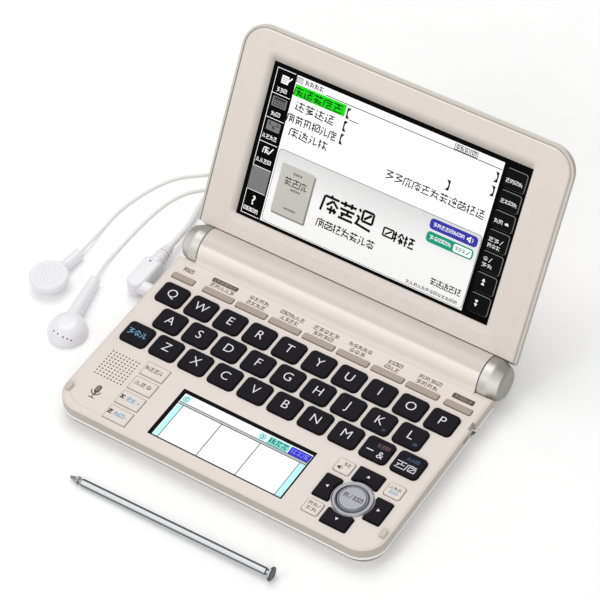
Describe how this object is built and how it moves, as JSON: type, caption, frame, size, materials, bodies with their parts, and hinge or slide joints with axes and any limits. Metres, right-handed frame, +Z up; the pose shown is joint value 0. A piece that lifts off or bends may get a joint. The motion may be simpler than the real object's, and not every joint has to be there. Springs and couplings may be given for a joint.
{
  "type": "electronic dictionary",
  "caption": "Clamshell electronic dictionary: reclining display lid on a battery barrel, keyboard, lower panel, round pad, loose stylus and wired earphones with a put-away coil.",
  "frame": {"origin": "centre of the base's footprint, on the plane that its feet stand on", "axes": "+X to the user's right, +Y away from the user towards the hinge, +Z up"},
  "size_m": [0.1961, 0.2005, 0.091],
  "materials": {
    "champagne_plastic": "satin",
    "black_key_plastic": "satin",
    "taupe_key_plastic": "satin",
    "silver_plastic": "gloss",
    "grey_ring_plastic": "satin",
    "display_glass": "gloss",
    "display_module": "satin",
    "circuit_board": "matte",
    "silicone_rubber": "matte",
    "speaker_metal": "satin",
    "cell_metal": "gloss",
    "spring_steel": "polished",
    "anodised_grey": "satin",
    "white_plastic": "gloss",
    "white_cord": "satin"
  },
  "bodies": {
    "base": {"base_bottom_case": "champagne_plastic", "base_top_case": "champagne_plastic", "batteries": "cell_metal", "battery_contacts": "spring_steel", "case_screws": "spring_steel", "cord_splitter": "white_plastic", "earbud_1": "white_plastic", "earbud_2": "white_plastic", "earphone_coil": "white_cord", "earphone_cord": "white_cord", "earphone_jack": "black_key_plastic", "earphone_lead_1": "white_cord", "earphone_lead_2": "white_cord", "earphone_plug": "white_plastic", "feet": "silicone_rubber", "hinge_clutches": "spring_steel", "key_mat": "silicone_rubber", "lid_bumpers": "silicone_rubber", "main_board": "circuit_board", "microphone": "speaker_metal", "pad_ring": "grey_ring_plastic", "speaker": "speaker_metal", "sub_display": "display_module", "sub_window": "display_glass"},
    "lid": {"lid_back_cover": "champagne_plastic", "lid_bezel": "champagne_plastic", "screen_window": "display_glass", "main_display": "display_module", "hinge_cap_left": "silver_plastic", "hinge_cap_right": "silver_plastic", "hinge_pins": "spring_steel"},
    "battery_door": {"battery_door": "champagne_plastic"},
    "stylus": {"stylus_barrel": "anodised_grey", "stylus_tip": "anodised_grey"},
    "letter_keys_upper": {"letter_keys_upper": "black_key_plastic"},
    "letter_keys_middle": {"letter_keys_middle": "black_key_plastic"},
    "letter_keys_lower": {"letter_keys_lower": "black_key_plastic"},
    "power_key": {"power_key": "taupe_key_plastic"},
    "function_key_1": {"function_key_1": "taupe_key_plastic"},
    "function_key_2": {"function_key_2": "taupe_key_plastic"},
    "function_key_3": {"function_key_3": "taupe_key_plastic"},
    "function_key_4": {"function_key_4": "taupe_key_plastic"},
    "function_key_5": {"function_key_5": "taupe_key_plastic"},
    "function_key_6": {"function_key_6": "taupe_key_plastic"},
    "function_key_7": {"function_key_7": "taupe_key_plastic"},
    "menu_key": {"menu_key": "taupe_key_plastic"},
    "side_key_1": {"side_key_1": "champagne_plastic"},
    "side_key_2": {"side_key_2": "champagne_plastic"},
    "side_key_3": {"side_key_3": "champagne_plastic"},
    "side_key_4": {"side_key_4": "champagne_plastic"},
    "sound_key": {"sound_key": "champagne_plastic"},
    "jump_key": {"jump_key": "champagne_plastic"},
    "back_key": {"back_key": "champagne_plastic"},
    "arrow_up": {"arrow_up": "black_key_plastic"},
    "arrow_right": {"arrow_right": "black_key_plastic"},
    "arrow_down": {"arrow_down": "black_key_plastic"},
    "arrow_left": {"arrow_left": "black_key_plastic"},
    "centre_button": {"centre_button": "silver_plastic"}
  },
  "joints": [
    {"name": "lid_hinge", "type": "hinge", "parent": "base", "child": "lid", "pos_m": [0, 0.0433, 0.0095], "axis": [-1, 0, 0], "range_deg": [-121, 28]},
    {"name": "battery_door_slide", "type": "slide", "parent": "base", "child": "battery_door", "axis": [0, 1, 0], "range_m": [0, 0.014]},
    {"name": "stylus_lift", "type": "slide", "parent": "base", "child": "stylus", "axis": [0, 0, 1], "range_m": [0, 0.04]},
    {"name": "letter_keys_upper_press", "type": "slide", "parent": "base", "child": "letter_keys_upper", "axis": [0, 0, -1], "range_m": [0, 0.0005], "stiffness_N_per_m": 400, "springref_m": -0.0005},
    {"name": "letter_keys_middle_press", "type": "slide", "parent": "base", "child": "letter_keys_middle", "axis": [0, 0, -1], "range_m": [0, 0.0005], "stiffness_N_per_m": 400, "springref_m": -0.0005},
    {"name": "letter_keys_lower_press", "type": "slide", "parent": "base", "child": "letter_keys_lower", "axis": [0, 0, -1], "range_m": [0, 0.0005], "stiffness_N_per_m": 400, "springref_m": -0.0005},
    {"name": "power_key_press", "type": "slide", "parent": "base", "child": "power_key", "axis": [0, 0, -1], "range_m": [0, 0.0005], "stiffness_N_per_m": 200, "springref_m": -0.0005},
    {"name": "function_key_1_press", "type": "slide", "parent": "base", "child": "function_key_1", "axis": [0, 0, -1], "range_m": [0, 0.0005], "stiffness_N_per_m": 200, "springref_m": -0.0005},
    {"name": "function_key_2_press", "type": "slide", "parent": "base", "child": "function_key_2", "axis": [0, 0, -1], "range_m": [0, 0.0005], "stiffness_N_per_m": 200, "springref_m": -0.0005},
    {"name": "function_key_3_press", "type": "slide", "parent": "base", "child": "function_key_3", "axis": [0, 0, -1], "range_m": [0, 0.0005], "stiffness_N_per_m": 200, "springref_m": -0.0005},
    {"name": "function_key_4_press", "type": "slide", "parent": "base", "child": "function_key_4", "axis": [0, 0, -1], "range_m": [0, 0.0005], "stiffness_N_per_m": 200, "springref_m": -0.0005},
    {"name": "function_key_5_press", "type": "slide", "parent": "base", "child": "function_key_5", "axis": [0, 0, -1], "range_m": [0, 0.0005], "stiffness_N_per_m": 200, "springref_m": -0.0005},
    {"name": "function_key_6_press", "type": "slide", "parent": "base", "child": "function_key_6", "axis": [0, 0, -1], "range_m": [0, 0.0005], "stiffness_N_per_m": 200, "springref_m": -0.0005},
    {"name": "function_key_7_press", "type": "slide", "parent": "base", "child": "function_key_7", "axis": [0, 0, -1], "range_m": [0, 0.0005], "stiffness_N_per_m": 200, "springref_m": -0.0005},
    {"name": "menu_key_press", "type": "slide", "parent": "base", "child": "menu_key", "axis": [0, 0, -1], "range_m": [0, 0.0005], "stiffness_N_per_m": 200, "springref_m": -0.0005},
    {"name": "side_key_1_press", "type": "slide", "parent": "base", "child": "side_key_1", "axis": [0, 0, -1], "range_m": [0, 0.0005], "stiffness_N_per_m": 200, "springref_m": -0.0005},
    {"name": "side_key_2_press", "type": "slide", "parent": "base", "child": "side_key_2", "axis": [0, 0, -1], "range_m": [0, 0.0005], "stiffness_N_per_m": 200, "springref_m": -0.0005},
    {"name": "side_key_3_press", "type": "slide", "parent": "base", "child": "side_key_3", "axis": [0, 0, -1], "range_m": [0, 0.0005], "stiffness_N_per_m": 200, "springref_m": -0.0005},
    {"name": "side_key_4_press", "type": "slide", "parent": "base", "child": "side_key_4", "axis": [0, 0, -1], "range_m": [0, 0.0005], "stiffness_N_per_m": 200, "springref_m": -0.0005},
    {"name": "sound_key_press", "type": "slide", "parent": "base", "child": "sound_key", "axis": [0, 0, -1], "range_m": [0, 0.0005], "stiffness_N_per_m": 200, "springref_m": -0.0005},
    {"name": "jump_key_press", "type": "slide", "parent": "base", "child": "jump_key", "axis": [0, 0, -1], "range_m": [0, 0.0005], "stiffness_N_per_m": 200, "springref_m": -0.0005},
    {"name": "back_key_press", "type": "slide", "parent": "base", "child": "back_key", "axis": [0, 0, -1], "range_m": [0, 0.0005], "stiffness_N_per_m": 200, "springref_m": -0.0005},
    {"name": "arrow_up_press", "type": "slide", "parent": "base", "child": "arrow_up", "axis": [0, 0, -1], "range_m": [0, 0.0005], "stiffness_N_per_m": 200, "springref_m": -0.0005},
    {"name": "arrow_right_press", "type": "slide", "parent": "base", "child": "arrow_right", "axis": [0, 0, -1], "range_m": [0, 0.0005], "stiffness_N_per_m": 200, "springref_m": -0.0005},
    {"name": "arrow_down_press", "type": "slide", "parent": "base", "child": "arrow_down", "axis": [0, 0, -1], "range_m": [0, 0.0005], "stiffness_N_per_m": 200, "springref_m": -0.0005},
    {"name": "arrow_left_press", "type": "slide", "parent": "base", "child": "arrow_left", "axis": [0, 0, -1], "range_m": [0, 0.0005], "stiffness_N_per_m": 200, "springref_m": -0.0005},
    {"name": "centre_button_press", "type": "slide", "parent": "base", "child": "centre_button", "axis": [0, 0, -1], "range_m": [0, 0.0005], "stiffness_N_per_m": 200, "springref_m": -0.0005}
  ]
}
